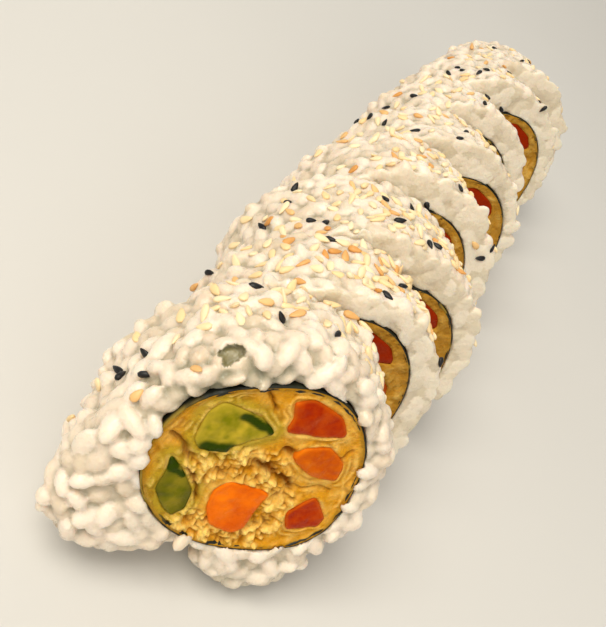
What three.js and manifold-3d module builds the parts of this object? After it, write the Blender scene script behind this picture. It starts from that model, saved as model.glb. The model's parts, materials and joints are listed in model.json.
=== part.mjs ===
// An uramaki roll cut into eight slices that still stand in a leaning row.
// Millimetres, +Z up. The row runs along +Y, with the rough end piece at the near end, -Y.
// Each slice is rice round a nori tube, round golden batter with vegetable strips that run through it.

import * as THREE from "three";
import { mergeVertices } from "three/addons/utils/BufferGeometryUtils.js";
import Module from "manifold-3d";

const wasm = await Module();
wasm.setup();

// The nori tube is a half sheet wound round the filling. It bulges at the lower right and is flatter on top.
const NORI_WIDTH = 32;
const NORI_HEIGHT = 30.4;
const NORI_THICKNESS = 0.6;
const NORI_SIDES = 18;
const NORI_SWELLS = [
  { angle: 320, spread: 28, share: 0.17 },
  { angle: 107, spread: 30, share: -0.09 },
];

// Slices, and the room between them and between the pieces of one slice
const SLICE_THICKNESS = 17.5;
const KNIFE_GAP = 0.7;
const CLEARANCE = 0.35;

// Rice grains and sesame seeds: length, width and thickness
const GRAIN = [6.4, 2.9, 2.5];
const SEED = [3.4, 1.9, 1.1];

// The rice stands in grain-size bumps, on rows along the slice and columns round it. Three heights take
// turns, so that no two crests meet: each is this far below the roll's outline, give or take a little.
const RICE_COLUMNS = 45;
const RICE_ROW = 3.2;
const BUMP_DEPTHS = [0, 0.8, 1.5];
const BUMP_CHANCE = 0.6;
const BUMP_DRIFT = 0.55;
const END_FACE_RELIEF = 2.2;

// Longer than any slice is thick, for what is cut to length afterwards
const LONG = 26;
const BLOCK = 200;

// Edges shorter than this are left out.
const FINEST = 0.05;

// The front cut of each slice: its middle across and along the row and above the table, how many degrees
// it is turned to the right and leans back, the slice's width and height, where the filling sits in it,
// and how many sesame seeds show on it.
const SLICES = [
  { middle: [5, -82, 24], turn: 35, lean: 18, width: 44.5, height: 46.5, fill: [-0.4, 2.2], seeds: 8 },
  { middle: [5, -59, 22], turn: 31, lean: 11, width: 44, height: 45, fill: [-1, 2.4], seeds: 13 },
  { middle: [5, -40, 22], turn: 30, lean: 11.5, width: 49, height: 44.5, fill: [3.5, -1], seeds: 14 },
  { middle: [3, -17, 22.5], turn: 31, lean: 14.5, width: 46, height: 44.5, fill: [0, 0], seeds: 9 },
  { middle: [4, 6.5, 22], turn: 32.5, lean: 13.5, width: 46, height: 43.5, fill: [3, -0.5], seeds: 8 },
  { middle: [1.5, 26, 22], turn: 33, lean: 13, width: 42.5, height: 43.5, fill: [0, 0], seeds: 7 },
  { middle: [4, 47, 22.5], turn: 33.5, lean: 14, width: 46, height: 44.5, fill: [2.5, 0], seeds: 7 },
  { middle: [5, 67.5, 22], turn: 33, lean: 15, width: 44.5, height: 43.5, fill: [0, 0], seeds: 7 },
];

// All slices sag a little to the lower right.
const SAG = { angle: 322, spread: 45, share: 0.05 };

// How the sesame lies: on an arc round the top, with some scatter, at shares of the slice's thickness
const SEED_ARC = 150;
const SEED_SCATTER = 12;
const SEED_DEPTHS = [0.15, 0.75];

// The rough face of the end piece, from its middle to its rim: the share of the outline, and the depth
const END_FACE = [[0, 1], [0.76, 0.8], [0.88, 0], [0.98, 1.4]];

// Whole grains on the end piece, on its face and sliding off its lower left side: how many, what share of the
// outline they reach, and how deep they lie
const FACE_GRAINS = { count: 18, reach: [0.82, 0.95], depth: [0.3, 0.9] };
const SKIRT_GRAINS = { count: 5, reach: [0.95, 0.99], depth: [1, 7] };
const GRAIN_TURN = 120;
const GOLDEN_SHARE = 0.618;

// The end piece's uneven outline evens out towards its back.
const SKIRT = { angle: 206, spread: 26, share: 0.3 };
const NOTCH = { angle: 255, spread: 17, share: -0.4 };
const HEEL = { angle: 300, spread: 16, share: 0.08 };
const BACK_TAPER = { angle: 175, spread: 45, share: -0.09 };

// Vegetable strips: their corners on the cut, clockwise, across and up from the middle of the nori. The last
// two show only in the end piece.
const STRIPS = [
  {
    name: "carrot_upper",
    finish: "deep",
    corners: [[0.5, 11.2], [3, 12.4], [8.3, 10.6], [10.2, 7.9], [1.4, 6.8], [1.5, 9.2]],
  },
  {
    name: "carrot_right",
    finish: "carrot",
    corners: [[4.5, 2.5], [5.3, 4.3], [9, 5.5], [12.3, 3.3], [12.5, 0.3], [8.5, 0.4]],
  },
  {
    name: "carrot_lower",
    finish: "bright",
    corners: [[-4, -5], [-2.4, -3.5], [3.8, -4.2], [3, -11], [1.4, -12.2], [-2.2, -11.2], [-3.8, -8.4]],
  },
  {
    name: "green_upper",
    finish: "green",
    corners: [
      [-10.3, 2.6], [-10.3, 7.2], [-8.8, 9.2], [-3.2, 8], [-0.2, 6.2], [-5.1, 3.2], [-5.6, 1.6], [-9, 1.5],
    ],
  },
  {
    name: "carrot_low_right",
    finish: "deep",
    corners: [[9.6, -10], [8.3, -7], [11.2, -3.4], [14.4, -7], [14, -8.4]],
  },
  {
    name: "green_left",
    finish: "green",
    corners: [
      [-12.2, -6.6], [-11.8, -3.2], [-12.2, -0.8], [-9.7, -3.2],
      [-7.4, -6], [-7.3, -9], [-8.4, -10.6], [-10, -9.3],
    ],
  },
];
const STRIPS_IN_A_SLICE = 4;
const STRIP_SHIFT = 0.3;
const STRIP_PROUD = 0.4;
const BATTER_DIP = 0.5;

const FINISHES = {
  rice: { color: 0xeee0c8, roughness: 0.5, metalness: 0 },
  nori: { color: 0x10160f, roughness: 0.6, metalness: 0 },
  batter: { color: 0xcf9a33, roughness: 0.55, metalness: 0 },
  deep: { color: 0xc23c07, roughness: 0.35, metalness: 0 },
  carrot: { color: 0xd9570a, roughness: 0.35, metalness: 0 },
  bright: { color: 0xec600c, roughness: 0.35, metalness: 0 },
  green: { color: 0x8f8f1c, roughness: 0.4, metalness: 0 },
};

// Small helpers

function seededRandom(seed) {
  let state = seed;
  return () => {
    state = (state * 1664525 + 1013904223) % 4294967296;
    return state / 4294967296;
  };
}

function radians(degrees) {
  return THREE.MathUtils.degToRad(degrees);
}

function within(range, share) {
  return THREE.MathUtils.lerp(range[0], range[1], share);
}

// A rise of 1 at an angle, which fades away within a spread on either side of it
function swellAt(angle, swell) {
  const off = THREE.MathUtils.euclideanModulo(angle - radians(swell.angle) + Math.PI, 2 * Math.PI) - Math.PI;
  return swell.share * Math.exp(-((off / radians(swell.spread)) ** 2));
}

// One closed solid from a geometry, with its faces pointing out
function solidFrom(geometry) {
  geometry.deleteAttribute("normal");
  geometry.deleteAttribute("uv");
  const merged = mergeVertices(geometry, 1e-4);
  const mesh = {
    numProp: 3,
    vertProperties: new Float32Array(merged.attributes.position.array),
    triVerts: new Uint32Array(merged.index.array),
  };
  const solid = new wasm.Manifold(new wasm.Mesh(mesh));
  if (solid.volume() > 0) return solid;
  for (let corner = 0; corner < mesh.triVerts.length; corner += 3) {
    [mesh.triVerts[corner], mesh.triVerts[corner + 1]] = [mesh.triVerts[corner + 1], mesh.triVerts[corner]];
  }
  return new wasm.Manifold(new wasm.Mesh(mesh));
}

function geometryFrom(solid) {
  const mesh = solid.asOriginal().simplify(FINEST).getMesh();
  const geometry = new THREE.BufferGeometry();
  geometry.setAttribute("position", new THREE.BufferAttribute(mesh.vertProperties, 3));
  geometry.setIndex(new THREE.BufferAttribute(mesh.triVerts, 1));
  return geometry;
}

// The one body of a solid, without loose scraps or the walls of sealed hollows
function largestOf(solid) {
  return solid.decompose().reduce((largest, body) => (body.volume() > largest.volume() ? body : largest));
}

// The frame of a slice: its group stands on the table, and its axis runs back and down from the front cut.

function frameOf(slice) {
  const lean = radians(slice.lean);
  const group = new THREE.Group();
  group.position.set(slice.middle[0], slice.middle[1], 0);
  group.rotation.z = radians(slice.turn);
  group.updateMatrixWorld();
  return {
    group,
    middle: new THREE.Vector3(0, 0, slice.middle[2]),
    right: new THREE.Vector3(1, 0, 0),
    back: new THREE.Vector3(0, Math.cos(lean), -Math.sin(lean)),
    up: new THREE.Vector3(0, Math.sin(lean), Math.cos(lean)),
  };
}

function pointAt(frame, across, up, depth) {
  return frame.middle
    .clone()
    .addScaledVector(frame.right, across)
    .addScaledVector(frame.up, up)
    .addScaledVector(frame.back, depth);
}

// The knife's cuts

// Where the next slice begins, less the gap, seen from this slice's group. Its normal points to this slice.
function cutBefore(frame, nextFrame) {
  const cut = new THREE.Plane().setFromNormalAndCoplanarPoint(nextFrame.back, nextFrame.middle);
  cut.applyMatrix4(nextFrame.group.matrixWorld);
  cut.applyMatrix4(frame.group.matrixWorld.clone().invert());
  return cut.translate(cut.normal.clone().multiplyScalar(-KNIFE_GAP)).negate();
}

// All that lies on the side of a plane that its normal points to
function halfSpace(plane) {
  const block = new THREE.BoxGeometry(BLOCK, BLOCK, BLOCK).translate(0, 0, BLOCK / 2);
  block.applyQuaternion(new THREE.Quaternion().setFromUnitVectors(new THREE.Vector3(0, 0, 1), plane.normal));
  return solidFrom(block.translate(...plane.coplanarPoint(new THREE.Vector3())));
}

// The last slice ends in a cut of its own.
function lastCut(frame) {
  const normal = frame.back.clone().negate();
  return new THREE.Plane().setFromNormalAndCoplanarPoint(normal, pointAt(frame, 0, 0, SLICE_THICKNESS));
}

// The room that a slice's pieces are cut to: from a depth at the front to the back cut, and down to the table
function roomOf(frame, front) {
  const frontCut = new THREE.Plane().setFromNormalAndCoplanarPoint(frame.back, pointAt(frame, 0, 0, front));
  const table = new THREE.Plane(new THREE.Vector3(0, 0, 1), 0);
  return [frontCut, frame.cut, table].map(halfSpace).reduce((room, half) => room.intersect(half));
}

// Rice

function outlineAt(slice, angle, share, isEnd) {
  let grow = 1 + swellAt(angle, SAG);
  if (isEnd) {
    const near = swellAt(angle, SKIRT) + swellAt(angle, NOTCH) + swellAt(angle, HEEL);
    grow += near * (1 - share) + swellAt(angle, BACK_TAPER) * share;
  }
  return [(slice.width / 2) * grow * Math.cos(angle), (slice.height / 2) * grow * Math.sin(angle)];
}

// Stations along the slice's axis: how much of the outline each reaches, and how deep it lies. A cut slice
// is a barrel that runs past both cuts, and the end piece starts with its rough face.
function riceStations(isEnd) {
  const face = isEnd ? END_FACE : [[0, -RICE_ROW], [1, -RICE_ROW]];
  const first = face.at(-1)[1] + RICE_ROW;
  const rows = Math.ceil((LONG - first) / RICE_ROW);
  const barrel = Array.from({ length: rows }, (_, row) => [1, first + row * RICE_ROW]);
  return [...face, ...barrel, [0, barrel.at(-1)[1]]];
}

function riceCore(slice, frame, isEnd, random) {
  const stations = riceStations(isEnd);
  const profile = stations.map(([reach, depth]) => new THREE.Vector2(reach, depth));
  const lathe = new THREE.LatheGeometry(profile, RICE_COLUMNS);
  const step = (2 * Math.PI) / RICE_COLUMNS;
  const points = stations.length * RICE_COLUMNS;
  const chances = Array.from({ length: points }, () => [random(), random(), random()]);
  const position = lathe.attributes.position;
  for (let index = 0; index < position.count; index++) {
    const row = index % stations.length;
    const column = Math.floor(index / stations.length) % RICE_COLUMNS;
    const [reach, level] = stations[row];
    const [chance, turn, slide] = chances[row * RICE_COLUMNS + column].map((value) => value - 0.5);
    const angle = step * (column + turn * BUMP_DRIFT);
    const isOuter = reach === 1 && row < stations.length - 2;
    const isRough = isEnd && reach > 0 && row < stations.length - 1 && level < RICE_ROW;
    let depth = level + (isOuter ? slide * BUMP_DRIFT * RICE_ROW : 0);
    if (isRough) depth += chance * END_FACE_RELIEF;
    const sink = BUMP_DEPTHS[(row + 2 * column) % BUMP_DEPTHS.length] + chance * BUMP_CHANCE;
    const share = THREE.MathUtils.clamp(depth / SLICE_THICKNESS, 0, 1);
    const outline = outlineAt(slice, angle, share, isEnd);
    const scale = reach * (1 - sink / Math.hypot(...outline));
    const point = pointAt(frame, outline[0] * scale, outline[1] * scale, depth);
    position.setXYZ(index, point.x, point.y, point.z);
  }
  return solidFrom(lathe);
}

// A small solid of the given size at a point, its length along one direction and its flat side facing out
function kernel(shape, size, point, along, out) {
  const side = new THREE.Vector3().crossVectors(out, along).normalize();
  const basis = new THREE.Matrix4().makeBasis(side, along, new THREE.Vector3().crossVectors(side, along));
  const [length, width, thickness] = size;
  shape.applyMatrix4(new THREE.Matrix4().makeScale(width, length, thickness));
  return solidFrom(shape.applyMatrix4(basis.setPosition(point)));
}

function directionIn(first, second, angle) {
  return first.clone().multiplyScalar(Math.cos(angle)).addScaledVector(second, Math.sin(angle)).normalize();
}

// Sesame seeds lie flat on the upper side of the rice.
function sesame(slice, frame, isEnd, random) {
  const seeds = [];
  for (let count = 0; count < slice.seeds; count++) {
    const place = (count + 0.5) / slice.seeds - 0.5;
    const angle = radians(90 + place * SEED_ARC + (random() - 0.5) * SEED_SCATTER);
    const depth = within(SEED_DEPTHS, random()) * SLICE_THICKNESS;
    const [across, up] = outlineAt(slice, angle, depth / SLICE_THICKNESS, isEnd);
    const out = directionIn(frame.right, frame.up, angle);
    const tangent = directionIn(frame.right, frame.up, angle + Math.PI / 2);
    const along = directionIn(tangent, frame.back, random() * Math.PI);
    const point = pointAt(frame, across, up, depth).addScaledVector(out, -BUMP_DEPTHS[1]);
    seeds.push(kernel(new THREE.OctahedronGeometry(0.5), SEED, point, along, out));
  }
  return seeds;
}

// A whole grain on the end piece, lying flat on a surface that faces along out
function looseGrain(slice, frame, angle, reach, depth, sideways, out, turn) {
  const outline = outlineAt(slice, angle, depth / SLICE_THICKNESS, true);
  const point = pointAt(frame, outline[0] * reach, outline[1] * reach, depth);
  const tangent = directionIn(frame.right, frame.up, angle + Math.PI / 2);
  const along = directionIn(tangent, sideways, turn);
  return kernel(new THREE.SphereGeometry(0.5, 5, 3), GRAIN, point, along, out);
}

function looseGrains(slice, frame, random) {
  const grains = [];
  const forward = frame.back.clone().negate();
  for (let count = 0; count < FACE_GRAINS.count; count++) {
    const angle = (2 * Math.PI * count) / FACE_GRAINS.count;
    const radial = directionIn(frame.right, frame.up, angle);
    const reach = within(FACE_GRAINS.reach, (count * GOLDEN_SHARE) % 1);
    const depth = within(FACE_GRAINS.depth, random());
    const turn = radians((random() - 0.5) * GRAIN_TURN);
    grains.push(looseGrain(slice, frame, angle, reach, depth, radial, forward, turn));
  }
  for (let count = 0; count < SKIRT_GRAINS.count; count++) {
    const angle = radians(SKIRT.angle + (random() - 0.5) * 2 * SKIRT.spread);
    const radial = directionIn(frame.right, frame.up, angle);
    const reach = within(SKIRT_GRAINS.reach, random());
    const depth = within(SKIRT_GRAINS.depth, random());
    const turn = radians((random() - 0.5) * GRAIN_TURN);
    grains.push(looseGrain(slice, frame, angle, reach, depth, frame.back, radial, turn));
  }
  return grains;
}

function rice(slice, frame, isEnd, random) {
  const core = riceCore(slice, frame, isEnd, random);
  const pieces = sesame(slice, frame, isEnd, random);
  if (isEnd) pieces.push(...looseGrains(slice, frame, random));
  const hole = noriOutline(NORI_WIDTH + 2 * CLEARANCE, NORI_HEIGHT + 2 * CLEARANCE, slice.fill);
  const room = roomOf(frame, isEnd ? -LONG : 0);
  const whole = [core, ...pieces].reduce((body, piece) => body.add(piece));
  return largestOf(whole.intersect(room).subtract(bar(frame, hole)));
}

// Nori, batter and strips

function noriOutline(width, height, middle) {
  const shape = new THREE.Shape();
  for (let side = 0; side < NORI_SIDES; side++) {
    const angle = (2 * Math.PI * side) / NORI_SIDES;
    const grow = NORI_SWELLS.reduce((sum, swell) => sum + swellAt(angle, swell), 1);
    const x = middle[0] + (width / 2) * grow * Math.cos(angle);
    const y = middle[1] + (height / 2) * grow * Math.sin(angle);
    if (side === 0) shape.moveTo(x, y);
    else shape.lineTo(x, y);
  }
  shape.closePath();
  return shape;
}

// A shape on the cut, run along the slice's axis past both of its ends
function bar(frame, shape) {
  const options = { depth: 2 * LONG, steps: 1, bevelEnabled: false };
  const geometry = new THREE.ExtrudeGeometry(shape, options);
  const position = geometry.attributes.position;
  for (let index = 0; index < position.count; index++) {
    const depth = position.getZ(index) - LONG / 2;
    const point = pointAt(frame, position.getX(index), position.getY(index), depth);
    position.setXYZ(index, point.x, point.y, point.z);
  }
  return solidFrom(geometry);
}

function nori(slice, frame) {
  const tube = noriOutline(NORI_WIDTH, NORI_HEIGHT, slice.fill);
  tube.holes.push(noriOutline(NORI_WIDTH - 2 * NORI_THICKNESS, NORI_HEIGHT - 2 * NORI_THICKNESS, slice.fill));
  return bar(frame, tube).intersect(roomOf(frame, 0));
}

// A strip's outline, grown by a margin on every side
function stripOutline(slice, strip, margin) {
  const middle = new THREE.Vector2(...slice.fill).add(strip.shift);
  const corners = strip.corners.map((corner) => new THREE.Vector2(...corner).add(middle));
  const outwards = corners.map((corner, place) => {
    const side = corners[(place + 1) % corners.length].clone().sub(corner).normalize();
    return new THREE.Vector2(-side.y, side.x);
  });
  const points = corners.map((corner, place) => {
    const before = outwards.at(place - 1);
    const after = outwards[place];
    const reach = margin / (1 + before.dot(after));
    return corner.clone().addScaledVector(before, reach).addScaledVector(after, reach);
  });
  return new THREE.Shape(points);
}

function batter(slice, frame, strips) {
  const inset = 2 * (NORI_THICKNESS + CLEARANCE);
  let core = bar(frame, noriOutline(NORI_WIDTH - inset, NORI_HEIGHT - inset, slice.fill));
  for (const strip of strips) core = core.subtract(bar(frame, stripOutline(slice, strip, CLEARANCE)));
  return core.intersect(roomOf(frame, BATTER_DIP));
}

// The strips of one slice: the same in every slice, give or take a small shift
function stripsOf(isEnd, random) {
  const chosen = isEnd ? STRIPS : STRIPS.slice(0, STRIPS_IN_A_SLICE);
  const most = isEnd ? 0 : STRIP_SHIFT;
  return chosen.map((strip) => {
    const shift = new THREE.Vector2(random() - 0.5, random() - 0.5).multiplyScalar(2 * most);
    return { ...strip, shift };
  });
}

// The row

function named(name, solid, finish) {
  const mesh = new THREE.Mesh(geometryFrom(solid), new THREE.MeshStandardMaterial(FINISHES[finish]));
  mesh.name = name;
  return mesh;
}

const row = new THREE.Group();
const frames = SLICES.map(frameOf);
SLICES.forEach((slice, place) => {
  const frame = frames[place];
  const isEnd = place === 0;
  const random = seededRandom(101 + 37 * place);
  frame.cut = place + 1 < SLICES.length ? cutBefore(frame, frames[place + 1]) : lastCut(frame);
  const strips = stripsOf(isEnd, random);
  const name = `slice_${place + 1}`;
  frame.group.add(named(`${name}_rice`, rice(slice, frame, isEnd, random), "rice"));
  frame.group.add(named(`${name}_nori`, nori(slice, frame), "nori"));
  frame.group.add(named(`${name}_batter`, batter(slice, frame, strips), "batter"));
  for (const strip of strips) {
    const room = roomOf(frame, isEnd ? -STRIP_PROUD : 0);
    const solid = bar(frame, stripOutline(slice, strip, 0)).intersect(room);
    frame.group.add(named(`${name}_${strip.name}`, solid, strip.finish));
  }
  row.add(frame.group);
});

// The origin is on the table, under the middle of the whole row.
const group = new THREE.Group();
group.add(row);
row.updateMatrixWorld(true);
const middle = new THREE.Box3().setFromObject(row, true).getCenter(new THREE.Vector3());
row.position.set(-middle.x, -middle.y, 0);

export default group;
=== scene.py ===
"""A sliced uramaki roll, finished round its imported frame. Shapes are worked out in millimetres."""

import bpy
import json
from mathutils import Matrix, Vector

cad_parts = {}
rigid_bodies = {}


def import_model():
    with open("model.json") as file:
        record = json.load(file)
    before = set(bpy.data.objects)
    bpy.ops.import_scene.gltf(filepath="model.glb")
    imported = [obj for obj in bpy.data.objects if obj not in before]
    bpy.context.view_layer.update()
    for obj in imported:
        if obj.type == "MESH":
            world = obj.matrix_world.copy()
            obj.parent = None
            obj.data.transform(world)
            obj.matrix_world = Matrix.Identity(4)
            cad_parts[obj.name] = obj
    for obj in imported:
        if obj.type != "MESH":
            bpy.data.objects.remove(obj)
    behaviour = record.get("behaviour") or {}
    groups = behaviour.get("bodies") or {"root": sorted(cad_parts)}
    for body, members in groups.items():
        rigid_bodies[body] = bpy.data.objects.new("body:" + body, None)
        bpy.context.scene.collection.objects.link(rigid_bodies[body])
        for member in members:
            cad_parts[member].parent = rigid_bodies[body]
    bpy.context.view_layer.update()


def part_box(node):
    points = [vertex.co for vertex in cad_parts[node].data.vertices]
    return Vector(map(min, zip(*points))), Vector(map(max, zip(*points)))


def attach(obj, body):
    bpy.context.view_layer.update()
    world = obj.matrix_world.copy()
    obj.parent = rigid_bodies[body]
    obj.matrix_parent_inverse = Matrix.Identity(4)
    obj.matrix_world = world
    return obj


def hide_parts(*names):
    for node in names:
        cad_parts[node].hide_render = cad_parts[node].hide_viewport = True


bl_info = {
    "name": "Sliced uramaki roll",
    "version": (1, 0, 0),
    "blender": (4, 5, 0),
    "location": "View3D > Sidebar > Uramaki",
    "description": "Rice, sesame, nori, batter and vegetable strips of a roll cut into slices",
    "category": "Add Mesh",
}

import json
import math

import bpy
import numpy as np
from bpy.props import FloatProperty, FloatVectorProperty, PointerProperty
from mathutils import Matrix, Vector
from mathutils.bvhtree import BVHTree

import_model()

MM = 0.001

# Colours that stay as they are: plain white, and the rims of the carrots and the greens
WHITE = (1.0, 1.0, 1.0)
CARROT_RIM = (0.85, 0.24, 0.01)
GREEN_RIM = (0.46, 0.33, 0.03)

# The roll's layout, as in the frame
NORI_WIDTH = 32.0
NORI_HEIGHT = 30.4
NORI_SIDES = 18
NORI_SWELLS = ((320, 28, 0.17), (107, 30, -0.09))
SLICE_THICKNESS = 17.5
KNIFE_GAP = 0.7
BATTER_DIP = 0.5
STRIP_PROUD = 0.3
SAG = (322, 45, 0.05)
END_SWELLS = ((206, 26, 0.3), (255, 17, -0.4), (300, 16, 0.08))
BACK_TAPER = (175, 45, -0.09)

# Front cut's middle across, along and up; turn; lean; width; height; the filling's middle
SLICES = (
    ((5, -82, 24), 35, 18, 44.5, 46.5, (-0.4, 2.2)),
    ((5, -59, 22), 31, 11, 44, 45, (-1, 2.4)),
    ((5, -40, 22), 30, 11.5, 49, 44.5, (3.5, -1)),
    ((3, -17, 22.5), 31, 14.5, 46, 44.5, (0, 0)),
    ((4, 6.5, 22), 32.5, 13.5, 46, 43.5, (3, -0.5)),
    ((1.5, 26, 22), 33, 13, 42.5, 43.5, (0, 0)),
    ((4, 47, 22.5), 33.5, 14, 46, 44.5, (2.5, 0)),
    ((5, 67.5, 22), 33, 15, 44.5, 43.5, (0, 0)),
)

# Strips: slot, and corners on the cut from the nori's middle
STRIPS = {
    "carrot_upper": (
        "deep_carrot",
        ((0.3, 11.6), (3, 12.8), (8.4, 10.9), (10.5, 7.8), (1.2, 6.6), (1.4, 9.2)),
    ),
    "carrot_right": ("carrot", ((4.3, 2.6), (5.3, 4.6), (9, 5.7), (12.4, 3.4), (12.7, 0.2), (8.5, 0.2))),
    "carrot_lower": (
        "bright_carrot",
        ((-4.2, -5), (-2.4, -3.3), (4, -4.1), (3.1, -7.6), (3, -11), (1.4, -12.4), (-2.4, -11.3), (-4, -8.4)),
    ),
    "green_upper": (
        "green_vegetable",
        ((-10.5, 2.6), (-10.5, 7.3), (-8.9, 9.4), (-3.2, 8.2), (0, 6.2), (-5, 3), (-5.4, 1.5), (-9.2, 1.3)),
    ),
    "carrot_low_right": ("deep_carrot", ((9.4, -10.2), (8.1, -7), (11.2, -3.2), (14.6, -7), (14.1, -8.6))),
    "green_left": (
        "green_vegetable",
        (
            (-12.4, -6.6), (-12, -3.2), (-12.5, -0.5), (-9.6, -3.1),
            (-7.2, -6), (-7.1, -9), (-8.4, -10.8), (-10.2, -9.5),
        ),
    ),
}
END_ONLY = ("carrot_low_right", "green_left")

# Dark skin on the greens: a line and how far the skin reaches from it
DARK_SKINS = {
    "green_upper": (
        (((-8.6, 1.7), (-7, 1.6), (-5.4, 2.2)), 1.5),
        (((-5.4, 7.9), (-3.5, 7.5), (-1.7, 6.9), (0.2, 6)), 0.9),
    ),
    "green_left": ((((-12.6, -0.4), (-11.4, -2.4)), 1.2), (((-12, -2.8), (-9.6, -3.3)), 0.8)),
}

# Where the nori shows most on the end face, made thicker there partly as real nori and partly as a painted
# shadow of the dark gap beside it, and where batter covers its edge: angle, spread and share
NORI_SHOWS = ((85, 32, 0.6), (352, 13, 0.9), (318, 9, 0.8), (242, 11, 1.2), (275, 12, 0.8))
NORI_SMEAR = (185, 42, 1.3)

# The hollow beside the nori on the end face, where the rice hangs over the nori, its greyer stretch, which is
# painted shade, and the pit among the grains, a dent that is also darkened with painted shade, by its pixel
# and radius in pixels
HOLLOW = (140, 24, 0.9)
HANG = (92, 48, 1.0)
SHADE = (128, 34, 1.0)
PIT = ((233, 352), 8)

# Where the end slice's rice bulges towards its back: angle, spread and height
BULGE = (45, 28, 1.6)

# The core of the rice lies this deep under the ring's outline, behind its cuts and over the table
CORE_DEPTH = 1.75
CORE_INSET = 0.3
CORE_LIFT = 0.5

# How deep the core of the end face lies, from the nori at 0 to the rim at 1
END_FACE = ((0, 0.3, 0.6, 0.9, 1), (0.5, 0.9, 1.0, 2.2, 4.2))

# How much wider than the nori the core and the finished rice are
CORE_FIT = 1.012
RICE_FIT = 1.008

# How softly grains are pressed flat on a knife cut and on the table
CUT_SOFTNESS = 0.35
TABLE_SOFTNESS = 0.15

# Least and most width, length and thickness of grains and of seeds, as shares of the usual
GRAIN_SIZES = ((0.76, 0.66, 0.76), (1.22, 1.12, 1.2))
SEED_SIZES = ((0.82, 0.85, 0.8), (1.1, 1.12, 1.2))

# How far grains and seeds tilt from lying flat, in radians, and how far grains sink and stand out on the
# end slice, as shares of the others
GRAIN_TILT = 0.35
SEED_TILT = 0.2
END_TILT = 0.75
END_SINK = 0.1
END_UNEVENNESS = 2.2

# The most grains on a square metre, more than ever fit
GRAIN_DENSITY = 900000.0

# Where seeds fall on a slice: the middle angle and its spread, the lowest place, and how far back they lie
# as shares of the end slice and of the others. Each seed's middle lies a share of its thickness up.
SEED_FALL = (92, 42)
SEED_LOWEST = 4
SEED_DEPTHS = ((0.35, 0.95), (0.06, 0.95))
SEED_LIFT = 0.15
STREWING = 7

# How much narrower than the nori's outside the batter is, how much painted shade darkens the strips behind,
# and the size of the cells that batter and strips are made of, on the end slice and on the others
BATTER_FIT = 0.45
STRIP_SHADE_BEHIND = 0.9
BATTER_CELLS = (0.22, 0.5)
STRIP_CELLS = (0.25, 0.5)

# Half the floor's width in metres, and the point that all lights shine at
FLOOR_HALF = 6.0
LIGHT_AIM = Vector((0, 0, 0.02))

# How deep the pit goes, and how many times a surface is smoothed to tell crests from creases, for the painted
# light on crests and the painted shade in creases
PIT_DEPTH = 1.6
CREASE_ROUNDS = 14

# The crumbly middle of the end face's batter: a line and how far it reaches
CRUMBS = ((-7.5, -1.2), (-3, -0.6), (2, 0.2), (4.2, -3), (6, -8), (4, -13), (-6, -12))
CRUMB_REACH = 3.2

# Seams between the films of batter on the end face: points, half width and depth
SEAMS = (
    (((-3.7, 12.4), (-2.8, 11.3), (-1.6, 9.4)), 0.3, 0.9),
    (((-13.6, 2.6), (-12.1, 2), (-11, 0.6), (-10, -0.8)), 0.45, 0.9),
    (((-9.4, -2.2), (-7.8, -3.9), (-6.6, -6), (-5.9, -7.4)), 0.28, 1.0),
    (((0.3, 0.6), (1.6, 0.1), (3, -0.6)), 0.75, 1.2),
    (((4.1, -1.2), (5.6, -1.9), (6.4, -2.8)), 0.6, 1.3),
    (((3.1, 3.6), (4.2, 3.4)), 0.6, 1.2),
    (((-3.6, -11.1), (-3, -10.6)), 0.35, 0.9),
    (((2.9, -12), (3.5, -13.2)), 0.3, 0.9),
    (((6, -2), (8.4, -2.4), (10.5, -1.6), (13, -1.9)), 0.22, 0.5),
    (((11.4, 3.8), (12.6, 5.6)), 0.25, 0.6),
)

# The camera: place, turns and focal length in pixels of a picture 606 wide and 627 high
CAMERA_PLACE = (-4.6, -163.6, 118.3)
CAMERA_PITCH = 38.4
CAMERA_YAW = -0.21
CAMERA_ROLL = 39.68
CAMERA_FOCUS = 884.65
CAMERA_OFFSET = (5.6, -4.4)
PICTURE = (606, 627)
SENSOR = 36.0

# Black and toasted seeds that stand out, by the pixel where each lies
BLACK_SEEDS = (
    (145, 353), (118, 370), (125, 364), (121, 376), (146, 374), (281, 317), (387, 296), (403, 287),
    (256, 287), (331, 240), (311, 221), (326, 223), (262, 227), (210, 273), (385, 199), (411, 208),
    (400, 221), (430, 245), (437, 246), (295, 188), (288, 203), (427, 206), (440, 362), (460, 188),
    (470, 192), (477, 200), (492, 232), (492, 248), (480, 258), (460, 139), (415, 131), (386, 108),
    (370, 117), (385, 123), (357, 122), (414, 96), (457, 68), (449, 74), (479, 73), (486, 70),
    (487, 97), (501, 109), (543, 109),
)
TOASTED_SEEDS = (
    (197, 370), (137, 395), (119, 366), (266, 302), (303, 264), (195, 287), (269, 222), (262, 230),
    (325, 256), (335, 252), (345, 257), (355, 250), (300, 282), (344, 136), (342, 142), (475, 245),
    (460, 272), (400, 290),
)


# Numbers and outlines


def turns(count):
    """Angles spread evenly round a circle."""
    return math.tau * np.arange(count) / count


def swell(angle, spec):
    """A rise round one angle that fades away on both sides."""
    place, spread, height = spec
    off = (angle - math.radians(place) + math.pi) % math.tau - math.pi
    return height * np.exp(-((off / math.radians(spread)) ** 2))


def smooth_step(value, low, high):
    """From 0 to 1 between two values, softly at both ends."""
    part = np.clip((value - low) / (high - low), 0, 1)
    return part * part * (3 - 2 * part)


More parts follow.
